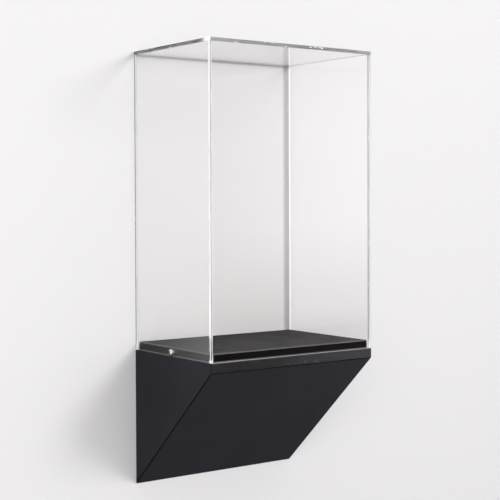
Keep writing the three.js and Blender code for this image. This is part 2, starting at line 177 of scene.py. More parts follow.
class Value:
    """An output of a shader node. Sums, products and masks of it are made by further nodes."""

    def __init__(self, nodes, node, output=0):
        self.nodes, self.node, self.output = nodes, node, output

    def __getitem__(self, output):
        """Another output of the same node."""
        return Value(self.nodes, self.node, output)

    def mathed(self, operation, *others):
        return self.nodes.put("Math", enumerate((self, *others)), operation=operation)

    def __mul__(self, other):
        return self.mathed("MULTIPLY", other)

    def __add__(self, other):
        return self.mathed("ADD", other)

    def __sub__(self, other):
        return self.mathed("SUBTRACT", other)

    def __rsub__(self, number):
        return self.nodes.put("Math", {0: number, 1: self}, operation="SUBTRACT")

    def __rtruediv__(self, number):
        return self.nodes.put("Math", {0: number, 1: self}, operation="DIVIDE")

    def ranged(self, low, high, to_low=0.0, to_high=1.0, kind="LINEAR"):
        return self.nodes.put("MapRange", {"Value": self, "From Min": low, "From Max": high, "To Min": to_low,
                                           "To Max": to_high}, interpolation_type=kind)

    def faded(self, low, high, to_low=0.0, to_high=1.0):
        """A range with soft ends."""
        return self.ranged(low, high, to_low, to_high, "SMOOTHSTEP")

    def within(self, start, steps):
        """1 between the second and third steps past the start, fading to 0 at the first and fourth."""
        first, second, third, fourth = (start + step for step in steps)
        return self.ranged(first, second) * self.ranged(fourth, third)

    def past(self, face):
        """1 past a face of the hood and 0 before it."""
        return self.ranged(face - 0.0004, face - 0.0002)

    def mix(self, first, second):
        """A colour, which is the first where this mask is 0 and the second where it is 1."""
        first, second = (shade if isinstance(shade, Value) else (*shade, 1.0) for shade in (first, second))
        return self.nodes.put("Mix", {0: self, 6: first, 7: second}, data_type="RGBA")[2]

    def either(self, first, second):
        """The first shader where this mask is 0 and the second where it is 1."""
        return self.nodes.put("MixShader", {0: self, 1: first, 2: second})

    def grey(self):
        return self.nodes.put("CombineColor", {0: self, 1: self, 2: self})

    def stretched(self, *scale):
        return self.nodes.put("Mapping", {"Vector": self, "Scale": scale})

    def swung(self, turn):
        return self.nodes.put("Mapping", {"Vector": self, "Rotation": turn})

    def noise(self, scale, detail=2.0, roughness=0.5, distortion=0.0):
        return self.nodes.put("TexNoise", {"Vector": self, "Scale": scale, "Detail": detail,
                                           "Roughness": roughness, "Distortion": distortion})

    def bump(self, strength, distance):
        return self.nodes.put("Bump", {"Strength": strength, "Distance": distance, "Height": self})


class Nodes:
    """A shader tree that nodes are added to."""

    def __init__(self, tree):
        self.tree = tree

    def put(self, kind, sockets=(), **options):
        """Adds a shader node, sets its options, and sets or links its inputs by name or number."""
        node = self.tree.nodes.new("ShaderNode" + kind)
        for option, value in options.items():
            setattr(node, option, value)
        for socket, value in dict(sockets).items():
            self.feed(node.inputs[socket], value)
        return Value(self, node)

    def feed(self, socket, value):
        if isinstance(value, Value):
            self.tree.links.new(value.node.outputs[value.output], socket)
        else:
            socket.default_value = value

    def principled(self, base, rough, normal=None, sockets=()):
        """The shader of a surface with this colour and roughness, given its other sockets by name."""
        sockets = {"Base Color": base, "Roughness": rough, **dict(sockets)}
        if normal:
            sockets["Normal"] = normal
        return self.put("BsdfPrincipled", sockets)

    def place(self):
        return self.put("TexCoord")["Object"]

    def spot(self):
        """The place as three numbers, X, Y and Z."""
        return self.put("SeparateXYZ", {0: self.place()})

    def attribute(self, name):
        return self.put("Attribute", attribute_name=name)["Fac"]

    def facing_away(self):
        return self.put("NewGeometry")["Backfacing"]

    def unseen(self):
        """Rays that carry shade and spread light, and so never show the surface itself."""
        path = self.put("LightPath")
        return largest(path["Is Shadow Ray"], path["Is Diffuse Ray"])


def cleared(data):
    """The shader tree of a material or a world, with no nodes in it."""
    data.use_nodes = True
    data.node_tree.nodes.clear()
    return Nodes(data.node_tree)


def largest(*values):
    return reduce(lambda first, second: first.mathed("MAXIMUM", second), values)


def toned(shade, by):
    """A colour with each part multiplied by one number, or by a number of its own."""
    by = by if isinstance(by, tuple) else (by, by, by)
    return tuple(part * number for part, number in zip(shade, by))


# Effects, each a node group that more than one material uses


def grouped(nodes, name, values, fill):
    """A node of the group with this name, given the values.

    The first time, the group is made. Its inputs are named as the values are, and fill adds its nodes and
    returns its outputs by name.
    """
    tree = bpy.data.node_groups.get(name)
    if not tree:
        tree = bpy.data.node_groups.new(name, "ShaderNodeTree")
        for label, value in values.items():
            kind = "NodeSocketVector" if isinstance(value, Value) else "NodeSocketFloat"
            tree.interface.new_socket(label, in_out="INPUT", socket_type=kind)
        group = Nodes(tree)
        results = fill(group, Value(group, tree.nodes.new("NodeGroupInput")))
        for label in results:
            tree.interface.new_socket(label, in_out="OUTPUT", socket_type="NodeSocketFloat")
        made = tree.nodes.new("NodeGroupOutput").inputs
        for label, value in results.items():
            group.feed(made[label], value)
    return nodes.put("Group", values, node_tree=tree)


def spray_grain(nodes, size):
    """The fine grain of sprayed lacquer, with slow changes of tone over a board."""
    def fill(group, given):
        place, grains = group.place(), 1.0 / given["Size"]
        return {"Height": place.noise(grains, 3.0, 0.55) * 0.7 + place.noise(grains * 0.18) * 0.6,
                "Tone": place.noise(7.0, 3.0, 0.5, 0.3).faded(0.3, 0.7)}
    return grouped(nodes, "Spray grain", {"Size": size}, fill)


def edge_wear(nodes, amount, patch):
    """Where an eased arris is rubbed, read from the strips that easing it made; the lacquers paint a
    highlight with it too.
    """
    def fill(group, given):
        patches = group.place().noise(1.0 / given["Patch"], 4.0, 0.65).faded(0.4, 0.66)
        return {"Mask": group.attribute("arris") * patches * given["Amount"]}
    return grouped(nodes, "Edge wear", {"Amount": amount, "Patch": patch}, fill)


def handling(nodes, size):
    """Faint smears that hands and cloths leave, as a change of roughness."""
    def fill(group, given):
        place, smears = group.place(), 1.0 / given["Size"]
        broad = place.noise(smears, 4.0, 0.6, 0.8)
        wiped = place.stretched(1.0, 5.0, 1.6).noise(smears * 2.5, 3.0, 0.6)
        return {"Smear": broad.faded(0.42, 0.62) * wiped.ranged(0.35, 0.7)}
    return grouped(nodes, "Handling", {"Size": size}, fill)


def wood_fibre(nodes, place, width):
    """Fibres and pores along Z of the place that is fed in."""
    def fill(group, given):
        place, fibres = given["Place"], 1.0 / given["Width"]
        figure = place.stretched(1.0, 1.0, 0.16).noise(fibres * 0.1, 3.0, 0.5, 1.2)
        pore = place.stretched(1.0, 1.0, 0.12).noise(fibres * 3.2)
        return {"Fibre": place.stretched(1.0, 1.0, 0.045).noise(fibres, 5.0, 0.6, 0.2),
                "Figure": figure.faded(0.3, 0.7), "Pore": pore.ranged(0.66, 0.74)}
    return grouped(nodes, "Wood fibre", {"Place": place, "Width": width}, fill)


def tool_marks(nodes, size):
    """Fine marks that turning, polishing or plating leave on metal."""
    def fill(group, given):
        place, marks = group.place(), 1.0 / given["Size"]
        drawn = place.stretched(6.0, 0.8, 0.8).noise(marks * 0.5)
        return {"Height": place.noise(marks, 3.0, 0.6) * 0.5 + drawn * 0.5,
                "Tone": place.noise(marks * 0.2, 3.0, 0.6)}
    return grouped(nodes, "Tool marks", {"Size": size}, fill)


# Materials. Each function adds the nodes of a finish and returns its shader.


def finish(name, shader_of, *values):
    """The material of this name, made the first time that it is asked for."""
    material = bpy.data.materials.get(name)
    if not material:
        material = bpy.data.materials.new(name)
        nodes = cleared(material)
        nodes.put("OutputMaterial", {"Surface": shader_of(nodes, *values)})
    return material


def clear_acrylic(nodes):
    """Clear sheet with faint smears, and painted shade through the top and along the rear right corner."""
    hood = settings().hood
    spot = nodes.spot()
    # Painted shade: a darker colour in a band along the rear right corner and through the top sheet.
    corner = spot["X"].faded(HOOD_HIGH.x - 0.0215, HOOD_HIGH.x - 0.0135) * spot["Y"].past(HOOD_REAR - SHEET)
    roof = spot["Z"].past(HOOD_HIGH.z - SHEET) * 0.22
    painted_shade_tint = largest(corner, roof).mix(hood.acrylic, toned(hood.acrylic, 0.58))
    glass = nodes.principled(painted_shade_tint, handling(nodes, 0.07) * 0.012, None,
                             {"IOR": ACRYLIC_INDEX, "Specular IOR Level": 0.36, "Transmission Weight": 1.0})
    index = nodes.facing_away() * (1 / ACRYLIC_INDEX - ACRYLIC_INDEX) + ACRYLIC_INDEX
    passed = nodes.put("Fresnel", {"IOR": index}) * -0.12 + hood.shade
    return nodes.unseen().either(glass, nodes.put("BsdfTransparent", {"Color": passed.grey()}))


def painted_plinth_image(spot):
    """Painted image of the black plinth at the front left corner's foot, beside two painted bright lines."""
    strong, faint = (0.003, 0.007, 0.018, 0.026), (0.006, 0.01, 0.036, 0.046)
    front_line, side_line = (0.0007, 0.0013, 0.0028, 0.0036), (0.0038, 0.0044, 0.0053, 0.0058)
    low = largest(spot["Z"].within(LEDGE, strong), spot["Z"].within(LEDGE, faint) * 0.65)
    on_side = spot["Y"].ranged(HOOD_LOW.y + 0.004, HOOD_LOW.y + 0.005)
    line = on_side.mix(spot["Y"].within(HOOD_LOW.y, front_line), spot["X"].within(HOOD_LOW.x, side_line))
    near = (spot["X"].ranged(HOOD_LOW.x + 0.0075, HOOD_LOW.x + 0.007)
            * spot["Y"].ranged(HOOD_LOW.y + 0.0085, HOOD_LOW.y + 0.0075))
    return low * near * (1.0 - line)


def cut_edge(nodes):
    """The polished end of a sheet, painted with the light that a real end gathers along the sheet, in streaks
    and flecks.

    Its tone is an attribute of the mesh. It glows faintly where it is light, because the light that real
    acrylic pipes to its ends takes more bounces than a render has.
    """
    tone, place, spot = nodes.attribute("edge_tone"), nodes.put("UVMap", uv_map="edge_place"), nodes.spot()
    # Painted light: streaks and flecks of the light that the end gathers.
    streak = place.stretched(21.0, 420.0, 1.0).noise(1.0, 3.0, 0.65, 0.9)
    fleck = place.stretched(60.0, 260.0, 1.0).noise(1.0, 3.0, 0.6, 0.8)
    even = tone.ranged(0.1, 0.25)
    level = streak.ranged(0.38, 0.62, even * 0.55 + 0.3, even * -2.05 + 3.2)
    roof = spot["Z"].past(HOOD_HIGH.z - SHEET)
    # Painted light at the top sheet's front left corner and along the foot of the ends.
    corner = (spot["Y"].faded(HOOD_LOW.y + 0.03, HOOD_LOW.y + 0.012)
              * spot["X"].ranged(HOOD_LOW.x + 0.002, HOOD_LOW.x + 0.001) * roof)
    foot = spot["Z"].faded(LEDGE + 0.022, LEDGE + 0.008) * tone.ranged(0.2, 0.6, 0.0, 0.85)
    light = largest(fleck.faded(0.64, 0.68), foot, corner)
    # A painted image of the dark plinth, as if seen through the corner's foot.
    plinth_image = painted_plinth_image(spot)
    clear = 1.0 - plinth_image
    base = (light * clear).mix((tone * level).grey(), settings().hood.cut_edge)
    base = (plinth_image * 0.85).mix(base, (0.02, 0.02, 0.02))
    glow = (largest(tone, light) * clear).ranged(0.7, 0.95, 0.0, 0.33).grey()
    polished = nodes.principled(base, streak.ranged(0.3, 0.7, 0.08, 0.2), None,
                                {"IOR": ACRYLIC_INDEX, "Emission Strength": 1.0, "Emission Color": glow})
    gone = nodes.put("BsdfTransparent", {"Color": (0.94, 0.94, 0.94, 1.0)})
    return (nodes.unseen() * (1.0 - roof)).either(polished, gone)


def black_lacquer(nodes, specular=0.06, gloss=None, depth=1.0):
    """Sprayed black lacquer, rubbed lighter and painted with a highlight along open arrises, with painted
    shade in joints.
    """
    console = settings().console
    gloss = gloss or console.gloss
    grain = spray_grain(nodes, console.grain)
    wear_and_highlight = edge_wear(nodes, 0.5, 0.012)
    seam = nodes.attribute("seam")
    tone = grain["Tone"].mix(toned(console.lacquer, 0.9 * depth), toned(console.lacquer, 1.1 * depth))
    # Painted highlight along open arrises, with their wear, and painted shade down in the joints.
    base = seam.mix(wear_and_highlight.mix(tone, console.lacquer_worn_and_highlight), console.seam)
    rough = grain["Tone"].ranged(0.0, 1.0, gloss - 0.02, gloss + 0.03) + handling(nodes, 0.09) * 0.05
    return nodes.principled(base, rough - wear_and_highlight * 0.1 + seam * 0.4, grain["Height"].bump(0.12, 0.0002),
                            {"IOR": LACQUER_INDEX, "Specular IOR Level": specular})


def plinth_lacquer(nodes):
    """The plinth's lacquer is rubbed down finer, with a faint painted brown sheen and a painted highlight on
    its arrises.
    """
    dark, brown, painted_brown_sheen = (0.0024, 0.0021, 0.0022), (0.005, 0.0036, 0.0034), (0.013, 0.0085, 0.0072)
    bare_and_highlight = (0.17, 0.165, 0.17)
    grain = spray_grain(nodes, settings().console.grain * 0.8)
    # Painted highlight all along the arrises, over their patchy wear.
    wear_and_highlight = largest(edge_wear(nodes, 0.6, 0.03), nodes.attribute("arris") * 0.85)
    rubbed = nodes.place().stretched(0.25, 1.0, 1.0).noise(420.0, 4.0, 0.7).ranged(0.3, 0.75)
    # Painted brown sheen, in faint patches that run along X.
    tone = (rubbed * 0.4).mix(grain["Tone"].mix(dark, brown), painted_brown_sheen)
    rough = rubbed.ranged(0.0, 1.0, 0.36, 0.44) + handling(nodes, 0.06) * 0.08
    height = grain["Height"] + rubbed * 0.35
    return nodes.principled(wear_and_highlight.mix(tone, bare_and_highlight), rough, height.bump(0.12, 0.0002),
                            {"IOR": LACQUER_INDEX, "Specular IOR Level": 0.025})


def plywood(nodes):
    """Birch plywood, with plies that alternate through its thickness along Y."""
    ply_thickness = 0.0028
    light = settings().console.plywood
    dark = toned(light, (0.76, 0.7, 0.62))
    place = nodes.place()
    ply = (nodes.spot()["Y"] * (1 / ply_thickness) + 0.3).mathed("FRACT")
    crossed = ply.mathed("PINGPONG", 0.5).faded(0.22, 0.28)
    face = wood_fibre(nodes, place.swung((0.0, pi / 2, 0.0)), 0.0022)
    cross = wood_fibre(nodes, place, 0.0018)
    tone = face["Fibre"] * 0.7 + face["Figure"] * 0.3
    base = crossed.mix(tone.ranged(0.25, 0.8).mix(dark, light), cross["Fibre"].mix(toned(dark, 0.62), dark))
    base = (face["Pore"] * 0.35).mix(base, toned(dark, 0.45))
    height = face["Fibre"] + crossed * -0.3
    return nodes.principled(base, tone.ranged(0.0, 1.0, 0.72, 0.58), height.bump(0.25, 0.0002))


def beech(nodes, turn):
    """Planed beech with its grain turned to run along a piece."""
    light = settings().console.beech
    dark = toned(light, (0.7, 0.62, 0.55))
    place = nodes.place().swung(turn)
    grain = wood_fibre(nodes, place, 0.0014)
    tone = grain["Fibre"] * 0.6 + grain["Figure"] * 0.4
    flecks = place.stretched(1.0, 1.0, 0.3).noise(1500.0, 1.0).ranged(0.66, 0.72)
    base = (flecks * 0.55).mix(tone.ranged(0.25, 0.75).mix(dark, light), toned(dark, 0.5))
    return nodes.principled(base, tone.ranged(0.0, 1.0, 0.66, 0.54), grain["Fibre"].bump(0.2, 0.0001))


def metal(nodes, shade, smooth, dull, mark):
    marks = tool_marks(nodes, mark)
    tone = marks["Tone"].ranged(0.3, 0.7).mix(toned(shade, 0.86), shade)
    return nodes.principled(tone, marks["Tone"].ranged(0.25, 0.75, smooth, dull),
                            marks["Height"].bump(0.08, 0.00005), {"Metallic": 1.0})


def polished_steel():
    return finish("button_screw_steel", metal, settings().fixing.steel, 0.26, 0.36, 0.0003)


# Mesh helpers


def add_block(shape, low, high):
    low, high = Vector(low), Vector(high)
    place = Matrix.Translation((low + high) / 2) @ Matrix.Diagonal((*(high - low), 1))
    return bmesh.ops.create_cube(shape, size=1.0, matrix=place)["verts"]


def prism(radius, depth, sides, place):
    shape = bmesh.new()
    bmesh.ops.create_cone(shape, cap_ends=True, segments=sides, radius1=radius, radius2=radius, depth=depth,
                          matrix=place)
    return shape


def eased(shape, edges, width, segments=3):
    """Bevels edges and returns the strips."""
    return bmesh.ops.bevel(shape, geom=edges, offset=width, offset_type="OFFSET", segments=segments,
                           profile=0.5, affect="EDGES", material=-1, clamp_overlap=True)["faces"]


def long_arrises(shape, shortest):
    return [edge for edge in shape.edges if edge.is_manifold and edge.calc_length() > shortest
            and abs(edge.calc_face_angle_signed()) > ARRIS_ANGLE]


def turned(profile, facets):
    """A shape spun a full turn about Z from a closed profile of (radius, height) points."""
    shape = bmesh.new()
    points = [shape.verts.new((radius, 0.0, height)) for radius, height in profile]
    lines = [shape.edges.new(pair) for pair in zip(points, points[1:] + points[:1])
             if any(point.co.x > 0 for point in pair)]
    bmesh.ops.spin(shape, geom=points + lines, cent=(0, 0, 0), axis=(0, 0, 1), angle=tau, steps=facets,
                   use_merge=True)
    bmesh.ops.remove_doubles(shape, verts=shape.verts, dist=MERGE_DISTANCE)
    bmesh.ops.dissolve_degenerate(shape, edges=shape.edges, dist=MERGE_DISTANCE)
    bmesh.ops.recalc_face_normals(shape, faces=shape.faces)
    return shape


def threaded(crest, root, pitch, start, turns, facets, flat=0.1):
    """A thread that one tooth makes as it is swept up its helix from start, with both ends closed."""
    shape = bmesh.new()
    tooth = ((root, 0.0), (crest, 0.5 - flat / 2), (crest, 0.5 + flat / 2), (root, 1.0))
    points = [shape.verts.new((radius, 0.0, start + pitch * step)) for radius, step in tooth]
    lines = [shape.edges.new(pair) for pair in zip(points, points[1:])]
    bmesh.ops.spin(shape, geom=points + lines, cent=(0, 0, 0), axis=(0, 0, 1), dvec=(0, 0, pitch / facets),
                   angle=tau * turns, steps=facets * turns, use_merge=False)
    bmesh.ops.remove_doubles(shape, verts=shape.verts, dist=MERGE_DISTANCE)
    open_edges = [edge for edge in shape.edges if edge.is_boundary]
    bmesh.ops.poke(shape, faces=bmesh.ops.holes_fill(shape, edges=open_edges, sides=0)["faces"])
    bmesh.ops.recalc_face_normals(shape, faces=shape.faces)
    return shape


def narrowed(vert, by):
    """Brings a point nearer to the Z axis."""
    vert.co.x *= by
    vert.co.y *= by


def meshed(name, shape):
    """A mesh made from the shape, which is used up."""
    mesh = bpy.data.meshes.new(name)
    shape.to_mesh(mesh)
    shape.free()
    return mesh


def linked(name, data):
    """A new object of the scene that holds the data."""
    made = bpy.data.objects.new(name, data)
    bpy.context.scene.collection.objects.link(made)
    return made


def carved(shape, cutter):
    """The shape with the cutter's volume taken out. Both are used up."""
    solids = [linked("work", meshed("work", part)) for part in (shape, cutter)]
    cut = solids[0].modifiers.new("cut", "BOOLEAN")
    cut.operation, cut.solver, cut.object = "DIFFERENCE", "EXACT", solids[1]
    bpy.context.view_layer.update()
    result = bmesh.new()
    result.from_object(solids[0], bpy.context.evaluated_depsgraph_get())
    for solid in solids:
        mesh = solid.data
        bpy.data.objects.remove(solid)
        bpy.data.meshes.remove(mesh)
    return result


def joined(*parts):
    """One shape from several. The parts are used up."""
    whole = bmesh.new()
    for part in parts:
        mesh = meshed("work", part)
        whole.from_mesh(mesh)
        bpy.data.meshes.remove(mesh)
    return whole


def aimed(shape, point, direction):
    """Moves a shape made along +Z from the origin, so that it starts at point and runs along direction."""
    turn = Vector((0, 0, 1)).rotation_difference(Vector(direction)).to_matrix().to_4x4()
    bmesh.ops.transform(shape, matrix=Matrix.Translation(point) @ turn, verts=shape.verts)
    return shape


def without_slivers(shape):
    """The shape with its many-sided faces cut into triangles, none of them without area."""
    bmesh.ops.triangulate(shape, faces=[face for face in shape.faces if len(face.verts) > 4])
    bmesh.ops.dissolve_degenerate(shape, edges=shape.edges, dist=SLIVER)
    return shape


def off_line(point, start, stop):
    """How far a point is from a line between two points."""
    along = stop - start
    part = min(1.0, max(0.0, (point - start).dot(along) / along.length_squared))
    return (point - start - along * part).length


def eased_board(node, width, outside=None, shortest=0.012):
    """A merged copy of a board's mesh with its long arrises eased.

    The strips that easing makes are marked as open arrises, or as seams where one of the two faces that
    meet there lies against another board.
    """
    shape = bmesh.new()
    shape.from_mesh(frame["nodes"][node].data)
    bmesh.ops.remove_doubles(shape, verts=shape.verts, dist=MERGE_DISTANCE)
    bmesh.ops.dissolve_limit(shape, angle_limit=FLAT_ANGLE, verts=shape.verts, edges=shape.edges)
    arris = shape.faces.layers.float.new("arris")
    seam = shape.faces.layers.float.new("seam")
    edges = long_arrises(shape, shortest)
    lines = [(edge.verts[0].co.copy(), edge.verts[1].co.copy(),
              outside and sum(outside(face) for face in edge.link_faces) == 1) for edge in edges]
    for face in eased(shape, edges, width):
        centre = face.calc_center_median()
        joint = min(lines, key=lambda line: off_line(centre, line[0], line[1]))[2]
        face[seam if joint else arris] = 1.0
    return without_slivers(shape)


def finish_piece(shape, name, node, *materials, rounded=False):
    """Makes the shape a piece that rides with the CAD node it stands for and takes its finish."""
    mesh = meshed(name, shape)
    for material in materials:
        mesh.materials.append(material)
    if rounded:
        mesh.shade_smooth()
        mesh.set_sharp_from_angle(angle=SOFT_ANGLE)
    piece = linked(name, mesh)
    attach(piece, frame["nodes"][node]["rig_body"])
    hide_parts(node)


# Operators, one for each piece or group of like pieces


class ColumnOperator:
    bl_options = {"REGISTER", "UNDO"}


class DISPLAYCOLUMN_OT_acrylic_hood(ColumnOperator, bpy.types.Operator):
    """Build the five bonded sheets of the clear hood, with a slot for each lock screw"""

    bl_idname = "display_column.acrylic_hood"
    bl_label = "Acrylic hood"

    # Each sheet's thin axis, and the painted light of its ends, from that at the lowest X to that at the
    # highest Z.
    # Four tones are an end's corners: both at its start, then both at its stop, lower side first.
    SHEETS = {
        "top": (2, (0.1, 0.16, (0.27, 0.36, 0.16, 0.2), 0.3, 0, 0)),
        "front": (1, ((1.0, 0.85, 1.0, 0.85), 0.9, 0, 0, 1.0, 0.3)),
        "back": (1, ((0.95, 0.1, 0.95, 0.1), 0.6, 0, 0, 1.0, 0.3)),
        "left": (0, (0, 0, (0.15, 0.85, 0.15, 0.85), 0.7, (0.5, 0.5, 0.3, 0.3), 0.3)),
        "right": (0, (0, 0, (0.3, 0.75, 0.3, 0.75), 0.92, (0.5, 0.5, 0.3, 0.3), 0.3)),
    }
    # Painted light of the slot's sides and of the upright and level breaks.
    SLOT_TONE = 0.1
    UPRIGHT_BREAK_TONE = 0.22
    LEVEL_BREAK_TONES = {0: 0.45, 1: 0.9, 2: 0.9}

    def sheet(self, node, thin, hood):
        """One sheet, set back from its neighbours by the cement between them."""
        low, high = (Vector(corner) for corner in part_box(node))
        if thin != 2:
            high.z -= hood.cement
        if thin == 0:
            low.y += hood.cement
            high.y -= hood.cement
        shape = bmesh.new()
        add_block(shape, low, high)
        eased(shape, [edge for edge in shape.edges if self.outside(edge)], hood.edge_break, 2)
        if thin == 0:
            slot = bmesh.new()
            add_block(slot, (low.x - hood.sheet, LOCK_DEPTH - hood.slot_radius, low.z - 0.002),
                      (high.x + hood.sheet, LOCK_DEPTH + hood.slot_radius, LOCK_HEIGHT))
            place = Matrix.Translation(((low.x + high.x) / 2, LOCK_DEPTH, LOCK_HEIGHT))
            crown = prism(hood.slot_radius, hood.sheet * 3, 32, place @ Matrix.Rotation(pi / 2, 4, "Y"))
            shape = carved(carved(shape, slot), crown)
        return shape

    @staticmethod
    def outside(edge):
        """Whether an edge runs along the outside of the whole hood."""
        limits = ((0, HOOD_LOW.x), (0, HOOD_HIGH.x), (1, HOOD_LOW.y), (1, HOOD_REAR), (2, HOOD_HIGH.z))
        return sum(all(abs(vert.co[axis] - limit) < NEAR / 10 for vert in edge.verts)
                   for axis, limit in limits) > 1

    def execute(self, context):
        hood = settings().hood
        for name, (thin, tones) in self.SHEETS.items():
            node = f"hood_{name}_panel"
            shape = self.sheet(node, thin, hood)
            layer = shape.loops.layers.float.new("edge_tone")
            place = shape.loops.layers.uv.new("edge_place")
            low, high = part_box(node)
            for face in shape.faces:
                if abs(face.normal[thin]) > 0.99:
                    continue
                face.material_index = 1
                run = max((number for number in range(3) if number != thin),
                          key=lambda number: max(vert.co[number] for vert in face.verts)
                          - min(vert.co[number] for vert in face.verts))
                tone = self.face_tone(face, thin, tones, hood)
                for loop in face.loops:
                    spot = loop.vert.co
                    loop[place].uv = (spot[run], spot[thin])
                    loop[layer] = self.corner_tone(tone, (spot[run] - low[run]) / (high[run] - low[run]),
                                                   (spot[thin] - low[thin]) / (high[thin] - low[thin]))
            finish_piece(shape, f"acrylic_{name}", node, finish("hood_acrylic", clear_acrylic),
                         finish("hood_cut_edge", cut_edge))
        return {"FINISHED"}

    def face_tone(self, face, thin, tones, hood):
        """The painted light of a face round the sheet's rim: the tone of its end, its break or its slot."""
        normal, centre = face.normal, face.calc_center_median()
        if thin == 0 and abs(centre.y - LOCK_DEPTH) < hood.slot_radius * 1.1 and centre.z > HOOD_LOW.z + NEAR:
            return self.SLOT_TONE
        axis = max(range(3), key=lambda number: abs(normal[number]))
        if axis == thin:
            return self.UPRIGHT_BREAK_TONE if abs(normal.z) < 0.3 else self.LEVEL_BREAK_TONES[thin]
        return tones[axis * 2 + (normal[axis] > 0)]

    @staticmethod
    def corner_tone(tone, along, across):
        if not isinstance(tone, tuple):
            return tone
        start, stop = (tone[k] + (tone[k + 1] - tone[k]) * across for k in (0, 2))
        return start + (stop - start) * along


class DISPLAYCOLUMN_OT_console_boards(ColumnOperator, bpy.types.Operator):
    """Build the lacquered boards of the wedge console, with eased arrises and a fine groove at each joint"""

    bl_idname = "display_column.console_boards"
    bl_label = "Console boards"

    BOARDS = {"side_board_left": "left_side_board", "side_board_right": "right_side_board",
              "lip_board": "front_fascia", "slope_board": "sloped_front_board", "deck": "deck_board"}

    @staticmethod
    def outside(face):
        """Whether a face of a board is part of the outside of the wedge."""
        centre, normal = face.calc_center_median(), face.normal
        slope = Vector((0.0, LIP_LOW.y, LIP_LOW.z))
        on_slope = (abs(normal.x) < 0.01 and normal.y < -0.1 and normal.z < -0.1
                    and abs((centre - slope).dot(normal)) < NEAR * 10)
        return (on_slope or abs(centre.x) > SIDE_X - NEAR or centre.y < LIP_LOW.y + NEAR
                or centre.z > LEDGE - NEAR or centre.y > -NEAR)

    def execute(self, context):
        lacquer = finish("console_lacquer", black_lacquer)
        lip = finish("lip_lacquer", black_lacquer, 0.42, 0.24, 0.42)
        for name, node in self.BOARDS.items():
            finish_piece(eased_board(node, settings().console.arris, self.outside), name, node,
                         lip if name == "lip_board" else lacquer)
        return {"FINISHED"}


class DISPLAYCOLUMN_OT_plinth(ColumnOperator, bpy.types.Operator):
    """Build the raised plinth inside the foot of the hood"""

    bl_idname = "display_column.plinth"
    bl_label = "Plinth"

    def execute(self, context):
        finish_piece(eased_board("plinth_board", settings().console.arris * 1.4), "plinth", "plinth_board",
                     finish("plinth_lacquer", plinth_lacquer))
        return {"FINISHED"}


class DISPLAYCOLUMN_OT_hidden_boards(ColumnOperator, bpy.types.Operator):
    """Build the plywood back board, the two cleats and the beech battens"""

    bl_idname = "display_column.hidden_boards"
    bl_label = "Back, cleats and battens"

    PLYWOOD = {"back_panel": "back_board", "hanging_cleat": "console_cleat", "wall_rail": "wall_cleat"}
    PLYWOOD_ARRIS = 0.0006
    BEECH_ARRIS = 0.0008

    def execute(self, context):
        for name, node in self.PLYWOOD.items():
            finish_piece(eased_board(node, self.PLYWOOD_ARRIS), name, node, finish("birch_plywood", plywood))
        for side in SIDES:
            node = f"{side}_batten"
            finish_piece(eased_board(node, self.BEECH_ARRIS), f"corner_batten_{side}", node,
                         finish("beech_upright", beech, (0, 0, 0)))
        return {"FINISHED"}


def lock_screw_shape(fixing):
    """A button-head screw with a hexagon socket, its head's underside at the origin, its shank along +Z."""
    head_radius, rim, dome, head_break, dome_steps = 0.00475, 0.0005, 0.00225, 0.0002, 12
    shank_root, shank_crest, collar = 0.00205, 0.0025, 0.0012
    thread_start, tip, taper_start, taper = 0.001, LOCK_SCREW_REACH, LOCK_SCREW_REACH - 0.0009, 0.0022
    socket_radius, socket_floor, socket_cut = 0.00173, -0.00115, 0.004
    angles = [pi / 2 * step / dome_steps for step in range(dome_steps + 1)]
    head = turned([(head_radius * sin(angle), -rim - dome * cos(angle)) for angle in angles]
                  + [(head_radius, -head_break), (head_radius - head_break, 0.0), (shank_crest, 0.0),
                     (shank_crest, collar), (0.0, collar)], fixing.facets)
    socket = prism(socket_radius, socket_cut, 6, Matrix.Translation((0, 0, socket_floor - socket_cut / 2)))
    head = without_slivers(carved(head, socket))
    # The socket's walls and floor take the second material, painted shade in the recess.
    for face in head.faces:
        centre = face.calc_center_median()
        off_axis = centre.xy.length
        on_wall = off_axis < 0.00175 and centre.z < -0.0008 and face.normal.z < 0.1
        on_floor = off_axis < 0.0017 and abs(centre.z - socket_floor) < 0.00015
        face.material_index = int(on_wall or on_floor)
    turns = int((tip - 0.0016) / fixing.lock_pitch)
    thread = threaded(shank_crest, shank_root, fixing.lock_pitch, thread_start, turns, fixing.thread_facets)
    for vert in thread.verts:
        narrowed(vert, 1.0 - max(0.0, vert.co.z - taper_start) / taper)
        vert.co.z = min(vert.co.z, tip - 0.00001)
    return joined(head, thread)


class DISPLAYCOLUMN_OT_lock_screws(ColumnOperator, bpy.types.Operator):
    """Build the button-head lock screws that hold the hood down"""

    bl_idname = "display_column.lock_screws"
    bl_label = "Lock screws"

    # Much darker steel: painted shade down in the hex socket.
    SOCKET_SHADE_STEEL = (0.13, 0.125, 0.12)

    def execute(self, context):
        socket = finish("socket_steel", metal, self.SOCKET_SHADE_STEEL, 0.5, 0.65, 0.0003)
        for side, sign in SIDES.items():
            node = f"{side}_lock_screw"
            low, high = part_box(node)
            tip = high.x if sign < 0 else low.x
            base = Vector((tip + sign * LOCK_SCREW_REACH, LOCK_DEPTH, LOCK_HEIGHT))
            shape = aimed(lock_screw_shape(settings().fixing), base, (-sign, 0, 0))
            finish_piece(shape, f"button_screw_{side}", node, polished_steel(), socket, rounded=True)
        return {"FINISHED"}


def ring(bore, outer, ease, heights, facets):
    """A bored ring that starts at the origin, with an eased band round it between each two heights."""
    wall = []
    for start, stop in zip(heights[0::2], heights[1::2]):
        wall += [(outer - ease, start), (outer, start + ease), (outer, stop - ease), (outer - ease, stop)]
    top = heights[-1]
    return turned([(bore, ease), (bore + ease, 0.0), *wall, (bore + ease, top), (bore, top - ease)], facets)


